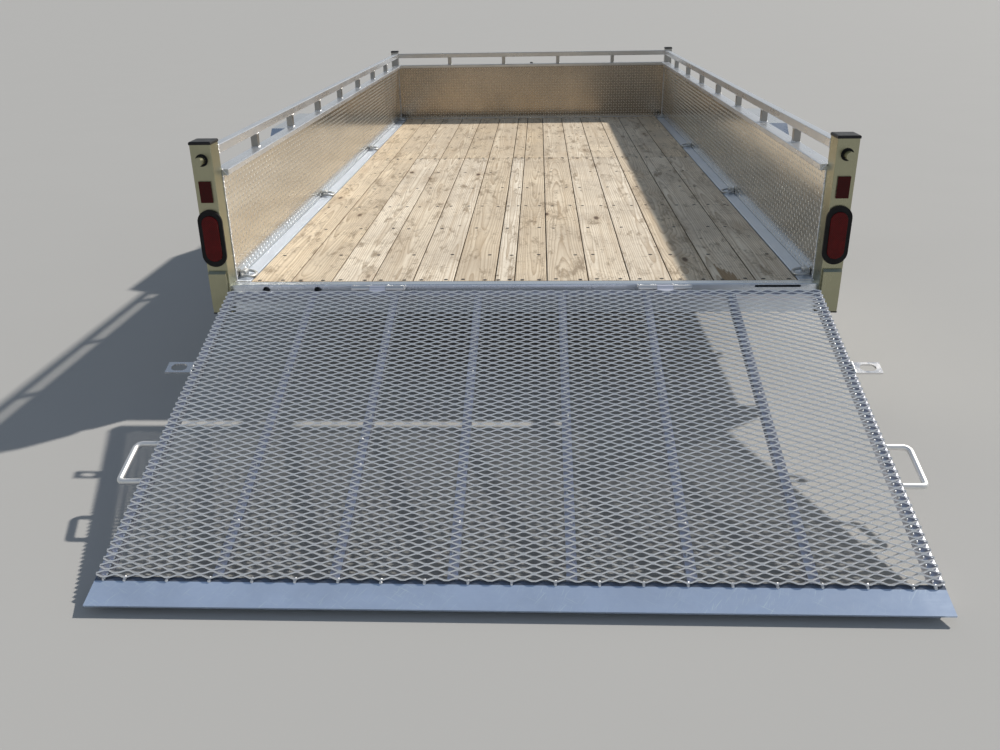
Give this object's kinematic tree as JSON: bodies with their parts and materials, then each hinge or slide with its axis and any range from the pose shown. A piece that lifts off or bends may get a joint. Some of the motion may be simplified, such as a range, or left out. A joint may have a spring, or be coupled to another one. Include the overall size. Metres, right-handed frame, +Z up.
{
  "type": "single-axle utility trailer with a ramp gate",
  "caption": "Low aluminium utility trailer with a plank floor, tread-plate walls, an open top rail, flat-topped fenders, a lowered mesh ramp gate, and an A-shaped tongue on a jack.",
  "frame": {"origin": "on the ground, midway across the trailer and midway between the tip of the lowered ramp and the nose of the coupler", "axes": "+X to the right, +Y forward to the coupler, +Z up"},
  "size_m": [2.54, 6.8426, 0.869],
  "materials": {
    "satin_aluminium": "satin extruded aluminium",
    "tread_plate": "bright diamond tread plate",
    "bright_aluminium": "bright mill-finish aluminium",
    "mesh_aluminium": "expanded aluminium with dull grey bloom",
    "pine": "bare pine boards",
    "black_rubber": "matt black rubber and soft plastic",
    "tyre_rubber": "black tyre rubber",
    "red_lens": "dark red glossy plastic",
    "silver_paint": "silver painted steel",
    "galvanised_steel": "zinc-coated steel",
    "black_paint": "black paint"
  },
  "bodies": {
    "trailer": {"side_rails": "satin_aluminium", "rear_sill": "satin_aluminium", "front_sill": "satin_aluminium", "crossmembers": "satin_aluminium", "deck_boards": "pine", "side_panel_right": "tread_plate", "side_panel_left": "tread_plate", "front_panel": "tread_plate", "mid_rail_right": "bright_aluminium", "mid_rail_left": "bright_aluminium", "mid_rail_front": "bright_aluminium", "top_rail_right": "bright_aluminium", "top_rail_left": "bright_aluminium", "top_rail_front": "bright_aluminium", "spindles": "bright_aluminium", "wall_stakes": "satin_aluminium", "rear_post_right": "satin_aluminium", "rear_post_left": "satin_aluminium", "front_posts": "satin_aluminium", "post_caps": "black_rubber", "bumper_blocks": "bright_aluminium", "lamp_rims": "black_rubber", "rear_lenses": "red_lens", "latch_pins": "bright_aluminium", "pin_bumpers": "black_rubber", "tie_downs": "bright_aluminium", "fender_right": "tread_plate", "fender_left": "tread_plate", "axle_beam": "black_paint", "torsion_arms": "black_paint", "tongue_rail_right": "satin_aluminium", "tongue_rail_left": "satin_aluminium", "coupler": "galvanised_steel", "coupler_latch": "galvanised_steel", "jack_plate": "satin_aluminium", "jack_tube": "galvanised_steel", "jack_crank": "black_paint", "gate_hinges": "galvanised_steel"},
    "wheel_left": {"tyre_left": "tyre_rubber", "wheel_rim_left": "silver_paint", "wheel_hub_left": "galvanised_steel"},
    "wheel_right": {"tyre_right": "tyre_rubber", "wheel_rim_right": "silver_paint", "wheel_hub_right": "galvanised_steel"},
    "ramp": {"ramp_frame": "satin_aluminium", "ramp_mesh": "mesh_aluminium", "ramp_plate": "bright_aluminium", "ramp_handles": "bright_aluminium", "ramp_brackets": "bright_aluminium"},
    "jack_leg": {"jack_leg": "galvanised_steel"}
  },
  "joints": [
    {"name": "wheel_left_spin", "type": "hinge", "parent": "trailer", "child": "wheel_left", "pos_m": [-1.178, -0.22273, 0.305], "axis": [1, 0, 0], "continuous": true},
    {"name": "wheel_right_spin", "type": "hinge", "parent": "trailer", "child": "wheel_right", "pos_m": [1.178, -0.22273, 0.305], "axis": [1, 0, 0], "continuous": true},
    {"name": "ramp_gate", "type": "hinge", "parent": "trailer", "child": "ramp", "pos_m": [0, -2.16873, 0.378], "axis": [-1, 0, 0], "range_deg": [0, 106.2]},
    {"name": "jack_lift", "type": "slide", "parent": "trailer", "child": "jack_leg", "axis": [0, 0, 1], "range_m": [0, 0.168]}
  ]
}
